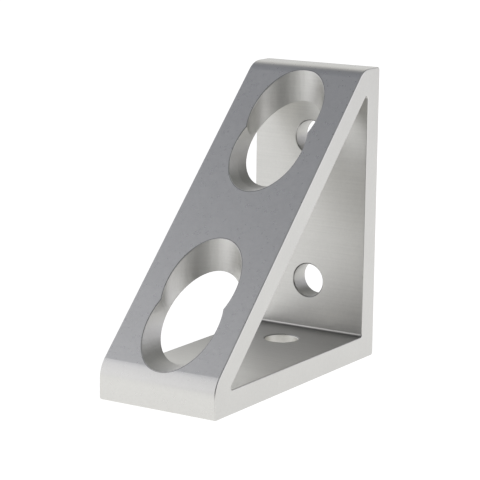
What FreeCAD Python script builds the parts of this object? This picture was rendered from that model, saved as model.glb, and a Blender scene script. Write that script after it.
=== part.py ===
import FreeCAD, Part
import os
import Sketcher

# T slot corner bracket: a length of extruded aluminium section, an equal-legged hollow triangle,
# sawn to width. Each leg spans two modules of the framing and has a screw hole in the middle of each,
# and the sloped web is opened in front of every screw.
# The sketches have the corner of the two mounting faces at their origin: x runs along the base leg,
# z up the upright leg and y across the width. The body's placement then puts the part's origin in
# the middle of the base leg's mounting face.

NODE = "corner_bracket"

# All sizes in millimetres.
SIZES = {
    "leg_length": 50.8,
    "bracket_width": 22.225,
    "leg_thickness": 4.0,
    "web_thickness": 3.85,
    "tip_height": 5.4,
    "tip_rounding": 4.5,
    "outer_rounding": 0.5,
    "inner_rounding": 0.45,
    "side_edge_break": 0.2,
    "screw_hole_diameter": 5.8,
    "screw_hole_bevel": 0.2,
    "access_diameter": 13.0,
    "opening_edge_break": 0.15,
}

SCREWS_PER_LEG = 2

# Points nearer to each other than this are one point.
TOUCH = 1e-4
# A cut takes away at least this volume, in cubic millimetres.
LEAST_CUT = 1.0


def spreadsheet(doc):
    sheet = doc.addObject("Spreadsheet::Sheet", "Sizes")
    for row, (name, value) in enumerate(SIZES.items(), start=1):
        sheet.set(f"A{row}", name)
        sheet.set(f"B{row}", str(value))
        sheet.setAlias(f"B{row}", name)
    doc.recompute()
    return sheet


def size(name):
    return f"Sizes.{name}"


def origin_plane(body, role):
    return next(item for item in body.Origin.OriginFeatures if item.Role == role)


def new_sketch(body, name, plane_role, offset=None):
    sketch = body.newObject("Sketcher::SketchObject", name)
    sketch.AttachmentSupport = (origin_plane(body, plane_role), [""])
    sketch.MapMode = "FlatFace"
    if offset:
        sketch.setExpression("AttachmentOffset.Base.z", offset)
    return sketch


def vector(u, v):
    return FreeCAD.Vector(u, v, 0)


def add_loop(sketch, points):
    """A closed loop of lines through the points; gives back the lines' numbers."""
    lines = []
    for start, end in zip(points, points[1:] + points[:1]):
        lines.append(sketch.addGeometry(Part.LineSegment(vector(*start), vector(*end)), False))
    for line, following in zip(lines, lines[1:] + lines[:1]):
        sketch.addConstraint(Sketcher.Constraint("Coincident", line, 2, following, 1))
    return lines


def bind(sketch, constraint, expression):
    index = sketch.addConstraint(constraint)
    sketch.setExpression(f"Constraints[{index}]", expression)


def outer_corners():
    """Corners of the section's outline: the bracket's corner, then the base's tip and the upright's."""
    leg, tip = SIZES["leg_length"], SIZES["tip_height"]
    return [(0, 0), (leg, 0), (leg, tip), (tip, leg), (0, leg)]


def hollow_corners():
    """Corners of the hollow: between the legs, then under the web at the base's tip and the upright's."""
    wall = SIZES["leg_thickness"]
    under_web = SIZES["leg_length"] + SIZES["tip_height"] - SIZES["web_thickness"] * 2 ** 0.5
    return [(wall, wall), (under_web - wall, wall), (wall, under_web - wall)]


def section_sketch(body):
    """The extruded section: two legs and the web outside, one hollow triangle inside."""
    leg, tip = SIZES["leg_length"], SIZES["tip_height"]
    wall, web = SIZES["leg_thickness"], SIZES["web_thickness"]
    sketch = new_sketch(body, "Section", "XZ_Plane")

    base, base_tip, slope, upright_tip, upright = add_loop(sketch, outer_corners())
    for line in (base, upright_tip):
        sketch.addConstraint(Sketcher.Constraint("Horizontal", line))
    for line in (base_tip, upright):
        sketch.addConstraint(Sketcher.Constraint("Vertical", line))
    sketch.addConstraint(Sketcher.Constraint("Coincident", base, 1, -1, 1))
    bind(sketch, Sketcher.Constraint("DistanceX", base, 1, base, 2, leg), size("leg_length"))
    bind(sketch, Sketcher.Constraint("DistanceY", upright, 2, upright, 1, leg), size("leg_length"))
    bind(sketch, Sketcher.Constraint("DistanceY", base_tip, 1, base_tip, 2, tip), size("tip_height"))
    bind(sketch, Sketcher.Constraint("DistanceX", upright_tip, 2, upright_tip, 1, tip), size("tip_height"))

    floor, incline, back = add_loop(sketch, hollow_corners())
    sketch.addConstraint(Sketcher.Constraint("Horizontal", floor))
    sketch.addConstraint(Sketcher.Constraint("Vertical", back))
    sketch.addConstraint(Sketcher.Constraint("Parallel", incline, slope))
    bind(sketch, Sketcher.Constraint("DistanceX", -1, 1, floor, 1, wall), size("leg_thickness"))
    bind(sketch, Sketcher.Constraint("DistanceY", -1, 1, floor, 1, wall), size("leg_thickness"))
    bind(sketch, Sketcher.Constraint("Distance", incline, 1, slope, web), size("web_thickness"))
    return sketch


def hole_sketch(body, name, plane_role, along, diameter, offset=None):
    """One leg's circles on the centre line, each in the middle of its share of the leg."""
    spacing = SIZES["leg_length"] / SCREWS_PER_LEG
    radius = SIZES[diameter] / 2
    sketch = new_sketch(body, name, plane_role, offset)
    circles = []
    for number in range(SCREWS_PER_LEG):
        place = (number + 0.5) * spacing
        centre = vector(place, 0) if along == "u" else vector(0, place)
        circles.append(sketch.addGeometry(Part.Circle(centre, FreeCAD.Vector(0, 0, 1), radius), False))

    centre_line, direction = (-1, "DistanceX") if along == "u" else (-2, "DistanceY")
    for circle in circles:
        sketch.addConstraint(Sketcher.Constraint("PointOnObject", circle, 3, centre_line))
    bind(sketch, Sketcher.Constraint("Diameter", circles[0], 2 * radius), size(diameter))
    bind(sketch, Sketcher.Constraint(direction, -1, 1, circles[0], 3, spacing / 2),
         f"{size('leg_length')} / {2 * SCREWS_PER_LEG}")
    for circle, following in zip(circles, circles[1:]):
        sketch.addConstraint(Sketcher.Constraint("Equal", circle, following))
        bind(sketch, Sketcher.Constraint(direction, circle, 3, following, 3, spacing),
             f"{size('leg_length')} / {SCREWS_PER_LEG}")
    return sketch


def pocket(body, name, sketch, length=None):
    """Cuts along the sketch's normal, to the length or right through; the volume has to go down."""
    before = body.Shape.Volume
    cut = body.newObject("PartDesign::Pocket", name)
    cut.Profile = sketch
    cut.Reversed = True
    if length:
        cut.Type = "Length"
        cut.setExpression("Length", length)
    else:
        cut.Type = "ThroughAll"
    body.Document.recompute()
    if body.Shape.Volume > before - LEAST_CUT:
        raise RuntimeError(name + " cuts nothing")
    return cut


def edge_names(shape, wanted):
    return [f"Edge{number}" for number, edge in enumerate(shape.Edges, start=1) if wanted(edge)]


def dress_edges(body, kind, name, wanted, amount):
    """Puts a Fillet or a Chamfer of the given size on every edge that is wanted."""
    base = body.Tip
    edges = edge_names(base.Shape, wanted)
    if not edges:
        raise RuntimeError(name + " finds no edge")
    feature = body.newObject("PartDesign::" + kind, name)
    feature.Base = (base, edges)
    feature.setExpression("Radius" if kind == "Fillet" else "Size", amount)
    body.Document.recompute()
    return feature


def round_edges(body, name, wanted, radius):
    return dress_edges(body, "Fillet", name, wanted, radius)


def bevel_edges(body, name, wanted, width):
    return dress_edges(body, "Chamfer", name, wanted, width)


def lengthwise_at(points):
    """Picks the edges that run along y through the given points of the section."""
    def wanted(edge):
        first, last = (vertex.Point for vertex in (edge.Vertexes[0], edge.Vertexes[-1]))
        if abs(abs(first.y - last.y) - SIZES["bracket_width"]) > TOUCH:
            return False
        return any(abs(first.x - x) < TOUCH and abs(first.z - z) < TOUCH for x, z in points)
    return wanted


def on_side(edge):
    """Is the whole edge in one of the two sawn side faces?"""
    half = SIZES["bracket_width"] / 2
    box = edge.BoundBox
    return box.YLength < TOUCH and abs(abs(box.Center.y) - half) < TOUCH


def screw_rim(edge):
    """Is it the rim of a screw hole in a leg's inner or outer face?"""
    if not isinstance(edge.Curve, Part.Circle):
        return False
    return abs(edge.Curve.Radius - SIZES["screw_hole_diameter"] / 2) < TOUCH


def web_opening_rim(edge):
    """Is it part of an access opening's outline in the web's outer face?"""
    if not isinstance(edge.Curve, Part.Ellipse):
        return False
    reach = SIZES["leg_length"] + SIZES["tip_height"]
    points = edge.discretize(3)
    return all(abs(point.x + point.z - reach) < TOUCH for point in points)


def corner_bracket(doc):
    body = doc.addObject("PartDesign::Body", NODE)
    body.Label = NODE
    body.setExpression("Placement.Base.x", "-Sizes.leg_length / 2")

    # The extruded section with the roundings it gets from the die, sawn to width.
    extrusion = body.newObject("PartDesign::Pad", "Extrusion")
    extrusion.Profile = section_sketch(body)
    extrusion.SideType = "Symmetric"
    extrusion.setExpression("Length", size("bracket_width"))
    doc.recompute()

    corner, base_end, base_slope, upright_slope, upright_end = outer_corners()
    round_edges(body, "OuterCorners", lengthwise_at([corner, base_end, upright_end]), size("outer_rounding"))
    round_edges(body, "TipCorners", lengthwise_at([base_slope, upright_slope]), size("tip_rounding"))
    round_edges(body, "HollowCorners", lengthwise_at(hollow_corners()), size("inner_rounding"))
    round_edges(body, "SideEdges", on_side, size("side_edge_break"))

    # Screw holes through the legs, drilled from the mounting faces.
    pocket(body, "BaseScrewHoles",
           hole_sketch(body, "BaseScrews", "XY_Plane", "u", "screw_hole_diameter"), size("leg_thickness"))
    pocket(body, "UprightScrewHoles",
           hole_sketch(body, "UprightScrews", "YZ_Plane", "v", "screw_hole_diameter"), size("leg_thickness"))
    bevel_edges(body, "ScrewHoleRims", screw_rim, size("screw_hole_bevel"))

    # Access ways for screw and driver, on the same centres, from each leg's inner face out through
    # the web. The two ways that meet in the web run into one another and leave one opening.
    pocket(body, "BaseAccess",
           hole_sketch(body, "BaseAccessWays", "XY_Plane", "u", "access_diameter", size("leg_thickness")))
    pocket(body, "UprightAccess",
           hole_sketch(body, "UprightAccessWays", "YZ_Plane", "v", "access_diameter", size("leg_thickness")))
    round_edges(body, "OpeningRims", web_opening_rim, size("opening_edge_break"))
    return body


def check(doc):
    for item in doc.Objects:
        if "Invalid" in item.State or "Error" in item.State:
            raise RuntimeError(f"{item.Name} is not valid: {item.State}")
    for body in doc.findObjects("PartDesign::Body"):
        if body.Shape.isNull() or not body.Shape.isValid() or len(body.Shape.Solids) != 1:
            raise RuntimeError(f"{body.Label} is not one valid solid")


doc = FreeCAD.newDocument("t_slot_corner_bracket")
spreadsheet(doc)
bracket = corner_bracket(doc)
doc.recompute()
check(doc)

os.makedirs("parts", exist_ok=True)
bracket.Shape.exportStep(f"parts/{NODE}.step")
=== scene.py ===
from collections import namedtuple
import math

import bpy
from mathutils import Matrix, Vector


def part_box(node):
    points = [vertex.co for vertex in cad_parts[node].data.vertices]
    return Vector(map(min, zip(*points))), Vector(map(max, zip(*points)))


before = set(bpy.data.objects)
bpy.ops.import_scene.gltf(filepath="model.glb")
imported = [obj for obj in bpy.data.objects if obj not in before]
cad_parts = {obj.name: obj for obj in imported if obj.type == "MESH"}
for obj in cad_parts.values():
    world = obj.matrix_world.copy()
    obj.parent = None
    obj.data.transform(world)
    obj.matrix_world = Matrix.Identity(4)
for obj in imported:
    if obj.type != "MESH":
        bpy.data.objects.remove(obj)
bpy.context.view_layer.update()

# T slot corner bracket: the CAD solid with a clear anodised finish, in a plain white studio.
# Lengths are metres, in the part's own frame: the base leg lies along x on the floor, the upright
# leg stands at the far end of -x, and y runs across the width, along the extrusion.

MM = 0.001
MICRON = 1e-6

NODE = "corner_bracket"
CAD_LOW, CAD_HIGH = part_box(NODE)


def direction(azimuth, elevation):
    """The unit vector at these angles in radians, the azimuth from +x towards +y."""
    level = math.cos(elevation)
    return Vector((level * math.cos(azimuth), level * math.sin(azimuth), math.sin(elevation)))


# Camera

AIM = Vector((0.0100, 0.0056, 0.0257))
DISTANCE = 0.330
AZIMUTH = math.radians(32.29)
ELEVATION = math.radians(11.40)
ROLL = math.radians(0.72)
# The lens and the sensor's width in millimetres.
LENS = 154.1
SENSOR_WIDTH = 36
CLIP_START = 0.01


def add_camera():
    """Looks at AIM from DISTANCE."""
    towards = direction(AZIMUTH, ELEVATION)
    turn = towards.to_track_quat("Z", "Y").to_matrix().to_4x4()
    data = bpy.data.cameras.new("camera")
    data.lens = LENS
    data.sensor_width = SENSOR_WIDTH
    data.clip_start = CLIP_START
    camera = bpy.data.objects.new("camera", data)
    camera.matrix_world = Matrix.Translation(AIM + DISTANCE * towards) @ turn @ Matrix.Rotation(ROLL, 4, "Z")
    bpy.context.scene.collection.objects.link(camera)
    bpy.context.scene.camera = camera


# Node trees

# A noise seldom goes below or above these.
NOISE_LOW = 0.3
NOISE_HIGH = 0.7


class Tree:
    """Adds nodes to a material or a world; an input is a socket or a plain value."""

    def __init__(self, owner):
        owner.use_nodes = True
        self.nodes = owner.node_tree.nodes
        self.links = owner.node_tree.links
        self.nodes.clear()

    def add(self, kind, inputs=None, **settings):
        node = self.nodes.new(kind)
        for name, value in settings.items():
            setattr(node, name, value)
        for key, value in (inputs or {}).items():
            if isinstance(value, bpy.types.NodeSocket):
                self.links.new(value, node.inputs[key])
            else:
                node.inputs[key].default_value = value
        return node

    def math(self, operation, *values, clamp=False):
        node = self.add("ShaderNodeMath", dict(enumerate(values)), operation=operation, use_clamp=clamp)
        return node.outputs[0]

    def product(self, first, *factors):
        result = first
        for factor in factors:
            result = self.math("MULTIPLY", result, factor)
        return result

    def vector(self, operation, *values):
        """The last value of SCALE is its number."""
        inputs = dict(enumerate(values))
        if operation == "SCALE":
            inputs = {0: values[0], "Scale": values[1]}
        node = self.add("ShaderNodeVectorMath", inputs, operation=operation)
        return node.outputs["Value" if operation == "DOT_PRODUCT" else "Vector"]

    def separate(self, vector):
        return self.add("ShaderNodeSeparateXYZ", {0: vector}).outputs

    def remap(self, value, low, high, to_low=0.0, to_high=1.0, smooth=False):
        node = self.add("ShaderNodeMapRange", {"Value": value, "From Min": low, "From Max": high,
                                               "To Min": to_low, "To Max": to_high},
                        interpolation_type="SMOOTHSTEP" if smooth else "LINEAR")
        return node.outputs["Result"]

    def blend(self, factor, first, second):
        """A number between first, where the factor is 0, and second, where it is 1."""
        node = self.add("ShaderNodeMix", {"Factor": factor, "A": first, "B": second}, data_type="FLOAT")
        return node.outputs["Result"]

    def blend_vectors(self, factor, first, second):
        """The sockets go by number: the node's inputs for numbers and for vectors share their names."""
        node = self.add("ShaderNodeMix", {0: factor, 4: first, 5: second}, data_type="VECTOR")
        return node.outputs[1]

    def noise(self, place, scale, detail=2.0, roughness=0.5):
        node = self.add("ShaderNodeTexNoise", {"Vector": place, "Scale": scale, "Detail": detail,
                                               "Roughness": roughness})
        return node.outputs["Fac"]

    def vary(self, noise, spread):
        """A factor that the noise takes up to this far below and above 1."""
        return self.remap(noise, NOISE_LOW, NOISE_HIGH, 1 - spread, 1 + spread)


# Studio

# Soft white panels round the object in a dim room, with none near the camera. A panel has the
# direction towards its middle, in degrees, and is full within one angle and gone past another.
Panel = namedtuple("Panel", "azimuth elevation full gone colour")
PANELS = (
    Panel(-82, -7, 28, 65, (0.61, 0.61, 0.63)),
    Panel(118, 15, 23, 38, (1.09, 1.09, 1.18)),
    Panel(-159, 10, 17, 50, (0.76, 0.76, 0.75)),
    Panel(-42, 28, 21, 35, (0.67, 0.67, 0.70)),
    Panel(88, 75, 29, 43, (0.12, 0.13, 0.13)),
    Panel(-20, -47, 40, 54, (0.91, 0.92, 0.91)),
    Panel(96, -40, 37, 51, (0.79, 0.79, 0.79)),
    Panel(-91, 45, 6, 39, (0.15, 0.16, 0.20)),
)
ROOM = (0.12, 0.12, 0.12)
WHITE = (1, 1, 1)

# The sheet's front edge, towards the camera, how far it goes to the sides and behind, and the gap
# between it and the bracket.
SHEET_FRONT = 0.06
SHEET_REACH = 0.8
SHEET_GAP = 0.05 * MM
SHEET_COLOUR = (0.30, 0.30, 0.30, 1)
# How white the sheet is by itself, for gloss and for the camera; the light on it comes on top.
SHEET_IN_GLOSS = 0.93
SHEET_IN_VIEW = 0.95


def panel_amount(tree, towards, panel):
    """How much of the panel is seen when looking towards there, from 0 to 1."""
    middle = direction(math.radians(panel.azimuth), math.radians(panel.elevation))
    nearness = tree.vector("DOT_PRODUCT", towards, middle)
    gone, full = (math.cos(math.radians(angle)) for angle in (panel.gone, panel.full))
    return tree.remap(nearness, gone, full, smooth=True)


def studio_world():
    """The room and its panels; the camera sees plain white instead."""
    world = bpy.data.worlds.new("studio")
    bpy.context.scene.world = world
    tree = Tree(world)
    towards = tree.vector("NORMALIZE", tree.add("ShaderNodeTexCoord").outputs["Generated"])
    light = ROOM
    for panel in PANELS:
        glow = tree.vector("SCALE", panel.colour, panel_amount(tree, towards, panel))
        light = tree.vector("ADD", light, glow)
    path = tree.add("ShaderNodeLightPath").outputs
    in_view = tree.math("MAXIMUM", path["Is Camera Ray"], path["Is Transmission Ray"])
    colour = tree.blend_vectors(in_view, light, WHITE)
    background = tree.add("ShaderNodeBackground", {"Color": colour, "Strength": 1.0})
    tree.add("ShaderNodeOutputWorld", {"Surface": background.outputs[0]})


def white_paper():
    """Pale paper, made white for the camera and in gloss, that still shows a shadow."""
    material = bpy.data.materials.new("white_paper")
    tree = Tree(material)
    path = tree.add("ShaderNodeLightPath").outputs
    in_gloss = tree.math("MAXIMUM", path["Is Glossy Ray"], path["Is Transmission Ray"])
    glow = tree.math("ADD", tree.math("MULTIPLY", in_gloss, SHEET_IN_GLOSS),
                     tree.math("MULTIPLY", path["Is Camera Ray"], SHEET_IN_VIEW))
    paper = tree.add("ShaderNodeBsdfDiffuse", {"Color": SHEET_COLOUR})
    white = tree.add("ShaderNodeEmission", {"Strength": glow})
    both = tree.add("ShaderNodeAddShader", {0: paper.outputs[0], 1: white.outputs[0]})
    tree.add("ShaderNodeOutputMaterial", {"Surface": both.outputs[0]})
    return material


def white_sheet():
    """The floor that the bracket stands on, a rectangle with its front edge square to the camera."""
    front, side = direction(AZIMUTH, 0), direction(AZIMUTH + math.pi / 2, 0)
    corners = [front * ahead + side * across for ahead, across in (
        (SHEET_FRONT, -SHEET_REACH), (SHEET_FRONT, SHEET_REACH),
        (-SHEET_REACH, SHEET_REACH), (-SHEET_REACH, -SHEET_REACH))]
    mesh = bpy.data.meshes.new("white_sheet")
    mesh.from_pydata(corners, [], [range(len(corners))])
    mesh.materials.append(white_paper())
    sheet = bpy.data.objects.new("white_sheet", mesh)
    sheet.location.z = CAD_LOW.z - SHEET_GAP
    bpy.context.scene.collection.objects.link(sheet)


# The bracket's surface

# Sizes of the solid that its box doesn't give.
LEG_THICKNESS = 4.0 * MM
WEB_THICKNESS = 3.85 * MM
TIP_HEIGHT = 5.4 * MM
ACCESS_RADIUS = 6.5 * MM
SCREW_RADIUS = 2.9 * MM
# What still counts as lying on a surface.
NEAR = 0.05 * MM

# The middle of the square that the two legs span, and how far the screws are from it along each leg.
MIDDLE = (CAD_LOW + CAD_HIGH) / 2
SCREW_OFFSET = (CAD_HIGH.x - CAD_LOW.x) / 4

# Between its two values, a part of the normal turns a face into what the name says: the part along y
# into a sawn side, and the part upwards into the hollow's floor or the lower side of a hole.
SAWN_FACING = (0.90, 0.99)
FLOOR_FACING = (0.35, 0.75)
LOWER_SIDE_FACING = (-0.2, 0.8)

# The hollow's floor is duller towards the upright and, as painted shade, darker there, most of all in the
# groove beside it.
DULL_AND_SHADE_REACH = 32 * MM
GROOVE_REACH = 4 * MM
# The deburred rims of the holes, which get a painted dark shade, are this wide.
RIM_WIDTH = 0.13 * MM


class Surface:
    """What a point of the bracket belongs to, each as a number from 0 to 1, and its place."""

    def __init__(self, tree):
        self.tree = tree
        coordinates = tree.add("ShaderNodeTexCoord").outputs
        self.place = coordinates["Object"]
        self.x, self.y, self.z = tree.separate(self.place)
        facing = tree.separate(coordinates["Normal"])
        self.sawn = tree.remap(tree.math("ABSOLUTE", facing["Y"]), *SAWN_FACING)
        self.lower_side = tree.remap(facing["Z"], *LOWER_SIDE_FACING)

        base_face = CAD_LOW.z + LEG_THICKNESS
        upright_face = CAD_LOW.x + LEG_THICKNESS
        self.find_hollow(base_face, upright_face, facing["Z"])
        self.find_holes(base_face, upright_face)
        self.drawn = tree.math("SUBTRACT", 1.0, tree.math("MAXIMUM", self.sawn, self.bored))

    def find_hollow(self, base_face, upright_face, facing_up):
        """The faces inside the triangle, and its floor's dullness and painted shade by the distance from the
        upright.
        """
        tree = self.tree
        under_web = CAD_HIGH.x + CAD_LOW.z + TIP_HEIGHT - WEB_THICKNESS / math.sqrt(2)
        behind_web = tree.math("LESS_THAN", tree.math("ADD", self.x, self.z), under_web)
        above_base = tree.math("GREATER_THAN", self.z, base_face - NEAR)
        beside_upright = tree.math("GREATER_THAN", self.x, upright_face - NEAR)
        self.hollow = tree.product(behind_web, above_base, beside_upright)

        floor = tree.math("MULTIPLY", self.hollow, tree.remap(facing_up, *FLOOR_FACING))
        from_upright = tree.math("SUBTRACT", self.x, upright_face)
        # The first ramp makes the floor rougher and paints shade into its colour; the second paints shade
        # into the groove.
        dull_and_shade_ramp = tree.remap(from_upright, 0, DULL_AND_SHADE_REACH, 1, 0)
        groove_shade_ramp = tree.remap(from_upright, 0, GROOVE_REACH, 1, 0, smooth=True)
        self.dull_and_painted_shade = tree.math("MULTIPLY", floor, dull_and_shade_ramp)
        self.groove_painted_shade = tree.math("MULTIPLY", floor, groove_shade_ramp)

    def find_holes(self, base_face, upright_face):
        """The walls of the holes through the base, of those through the upright, and their rims."""
        tree = self.tree
        past_base = tree.math("GREATER_THAN", self.z, base_face + NEAR)
        past_upright = tree.math("GREATER_THAN", self.x, upright_face + NEAR)
        in_base = self.room_to_wall(self.x, MIDDLE.x, past_base)
        in_upright = self.room_to_wall(self.z, MIDDLE.z, past_upright)
        self.base_bores = tree.math("GREATER_THAN", in_base, 0)
        self.upright_bores = tree.math("GREATER_THAN", in_upright, 0)
        self.bored = tree.math("MAXIMUM", self.base_bores, self.upright_bores)
        self.base_screw_holes = tree.math("GREATER_THAN", self.base_bores, past_base)
        self.upright_screw_holes = tree.math("GREATER_THAN", self.upright_bores, past_upright)
        # Where the rims get their painted dark shade.
        near_rim = tree.remap(tree.math("MAXIMUM", in_base, in_upright), -RIM_WIDTH, -RIM_WIDTH / 2)
        self.shaded_rim = tree.math("SUBTRACT", near_rim, self.bored, clamp=True)

    def room_to_wall(self, along, middle, past_leg):
        """How far the wall is from here: the screw hole's in the leg, the access way's past it."""
        tree = self.tree
        from_middle = tree.math("ABSOLUTE", tree.math("SUBTRACT", along, middle))
        step = tree.math("SUBTRACT", from_middle, SCREW_OFFSET)
        squares = tree.math("ADD", tree.math("MULTIPLY", step, step), tree.math("MULTIPLY", self.y, self.y))
        reach = tree.blend(past_leg, SCREW_RADIUS + NEAR, ACCESS_RADIUS + NEAR)
        return tree.math("SUBTRACT", reach, tree.math("SQRT", squares))


# The finish's patterns

GRAIN_PITCH = 0.30 * MM
MOTTLING_PITCH = 0.8 * MM
CLOUD_PITCH = 9 * MM
# The fine patterns have this much detail in them.
FINE_DETAIL = 3.0
FINE_ROUGHNESS = 0.6

# These have one size along their axis and another across it: the die's lines and the waves run along
# the extrusion, and the drill leaves fine rings round the hole's axis and streaks along it.
DIE_LINE = (25 * MM, 0.35 * MM)
WAVE = (1.6 * MM, 0.9 * MM)
FEED_MARK = (0.35 * MM, 6 * MM)
STREAK = (6 * MM, 1.3 * MM)
STREAK_DETAIL = 3.0

GRAIN_DEPTH = 6 * MICRON
WAVE_DEPTH = 7 * MICRON
DIE_LINE_DEPTH = 1.5 * MICRON
FEED_MARK_DEPTH = 2.0 * MICRON
STREAK_DEPTH = 50 * MICRON


class Patterns:
    """The noises that colour, roughness and height are made from."""

    def __init__(self, tree, place):
        self.tree = tree
        self.place = place
        self.grain = tree.noise(place, 1 / GRAIN_PITCH, FINE_DETAIL, FINE_ROUGHNESS)
        self.mottling = tree.noise(place, 1 / MOTTLING_PITCH, FINE_DETAIL, FINE_ROUGHNESS)
        self.clouds = tree.noise(place, 1 / CLOUD_PITCH)
        self.die_lines = self.stretched("y", DIE_LINE)
        self.waves = self.stretched("y", WAVE)
        self.base_feed = self.stretched("z", FEED_MARK)
        self.upright_feed = self.stretched("x", FEED_MARK)
        self.base_streaks = self.stretched("z", STREAK, STREAK_DETAIL)
        self.upright_streaks = self.stretched("x", STREAK, STREAK_DETAIL)

    def stretched(self, axis, pitch, detail=2.0):
        """Noise with one pitch along the axis and another across it."""
        along, across = pitch
        scale = tuple(1 / (along if name == axis else across) for name in "xyz")
        return self.tree.noise(self.tree.vector("MULTIPLY", self.place, scale), 1.0, detail)


def marks(tree, surface, patterns):
    """The normal of a face with the fine grain and the marks that die and drills leave."""
    height = tree.math("MULTIPLY", patterns.grain, GRAIN_DEPTH)
    for pattern, share, depth in (
        (patterns.waves, surface.drawn, WAVE_DEPTH),
        (patterns.die_lines, surface.drawn, DIE_LINE_DEPTH),
        (patterns.base_feed, surface.base_bores, FEED_MARK_DEPTH),
        (patterns.upright_feed, surface.upright_bores, FEED_MARK_DEPTH),
        (patterns.base_streaks, surface.base_bores, STREAK_DEPTH),
        (patterns.upright_streaks, surface.upright_bores, STREAK_DEPTH),
    ):
        height = tree.math("ADD", height, tree.product(pattern, share, depth))
    return tree.add("ShaderNodeBump", {"Strength": 1.0, "Distance": 1.0, "Height": height}).outputs[0]


# Anodised aluminium

METAL_COLOUR = (0.70, 0.693, 0.665)
# How far each pattern takes the shade from 1. At its middle, a noise leaves the shade as it is.
CLOUD_SPREAD = 0.015
GRAIN_SPREAD = 0.015
MOTTLING_SPREAD = 0.02
LINE_SPREAD = 0.025
NOISE_MIDDLE = 0.5

# Painted shade: the metal is made darker towards the upright on the hollow's floor, in the groove beside it,
# and on the holes' rims.
PAINTED_CORNER_SHADE = 0.72
PAINTED_GROOVE_SHADE = 0.55
PAINTED_RIM_SHADE = 0.5
# Painted light and shade on the screw holes' walls: brighter in the base, and in the upright darker on their
# lower side.
PAINTED_BASE_HOLE_LIGHT = 1.33
PAINTED_UPRIGHT_HOLE_LOWER_SHADE = 0.60

ROUGH_OUTSIDE = 0.29
ROUGH_HOLLOW = 0.39
ROUGH_SAWN = 0.40
ROUGH_BORED = 0.50
DULL_ROUGHNESS = 0.24
ROUGHNESS_SPREAD = 0.07
# How much the drill's marks smear reflections along the bore more than round it.
BORED_SMEAR = 0.6
BASE_BORE_AXIS = (0, 0, 1)
UPRIGHT_BORE_AXIS = (1, 0, 0)


def metal_colour(tree, surface, patterns):
    """The metal's colour times a shade, with lines in the hollow and in the bores, and painted shade and
    light in the hollow's corner, on the rims and in the screw holes.
    """
    lines = tree.blend(surface.hollow, NOISE_MIDDLE, patterns.die_lines)
    lines = tree.blend(surface.base_bores, lines, patterns.base_feed)
    lines = tree.blend(surface.upright_bores, lines, patterns.upright_feed)
    # Painted shade on the lower side of the upright's screw holes.
    upright_hole_painted_shade = tree.blend(surface.lower_side, 1.0, PAINTED_UPRIGHT_HOLE_LOWER_SHADE)
    shade = tree.product(
        tree.vary(patterns.clouds, CLOUD_SPREAD),
        tree.vary(patterns.grain, GRAIN_SPREAD),
        tree.vary(patterns.mottling, MOTTLING_SPREAD),
        tree.blend(surface.sawn, tree.vary(lines, LINE_SPREAD), 1.0),
        tree.blend(surface.dull_and_painted_shade, 1.0, PAINTED_CORNER_SHADE),
        tree.blend(surface.groove_painted_shade, 1.0, PAINTED_GROOVE_SHADE),
        tree.blend(surface.shaded_rim, 1.0, PAINTED_RIM_SHADE),
        tree.blend(surface.base_screw_holes, 1.0, PAINTED_BASE_HOLE_LIGHT),
        tree.blend(surface.upright_screw_holes, 1.0, upright_hole_painted_shade),
    )
    return tree.vector("SCALE", METAL_COLOUR, shade)


def anodised_aluminium():
    """Satin metal on the drawn and sawn faces, and rougher metal with a lengthwise smear in the bores."""
    material = bpy.data.materials.new("anodised_aluminium_finish")
    tree = Tree(material)
    surface = Surface(tree)
    patterns = Patterns(tree, surface.place)
    look = {"Base Color": metal_colour(tree, surface, patterns), "Metallic": 1.0,
            "Normal": marks(tree, surface, patterns)}
    unevenness = tree.vary(patterns.mottling, ROUGHNESS_SPREAD)

    hollow_roughness = tree.math("ADD", ROUGH_HOLLOW, tree.math("MULTIPLY", surface.dull_and_painted_shade, DULL_ROUGHNESS))
    drawn_roughness = tree.blend(surface.hollow, ROUGH_OUTSIDE, hollow_roughness)
    satin_roughness = tree.blend(surface.sawn, drawn_roughness, ROUGH_SAWN)
    satin = tree.add("ShaderNodeBsdfPrincipled", {
        **look, "Roughness": tree.math("MULTIPLY", satin_roughness, unevenness)}, distribution="GGX")

    along_bore = tree.blend_vectors(surface.upright_bores, BASE_BORE_AXIS, UPRIGHT_BORE_AXIS)
    bored = tree.add("ShaderNodeBsdfPrincipled", {
        **look, "Roughness": tree.math("MULTIPLY", ROUGH_BORED, unevenness),
        "Anisotropic": BORED_SMEAR, "Tangent": along_bore})

    both = tree.add("ShaderNodeMixShader", {0: surface.bored, 1: satin.outputs[0], 2: bored.outputs[0]})
    tree.add("ShaderNodeOutputMaterial", {"Surface": both.outputs[0]})
    return material


add_camera()
studio_world()
white_sheet()
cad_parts[NODE].material_slots[0].material = anodised_aluminium()

bpy.context.scene.view_settings.view_transform = "Standard"
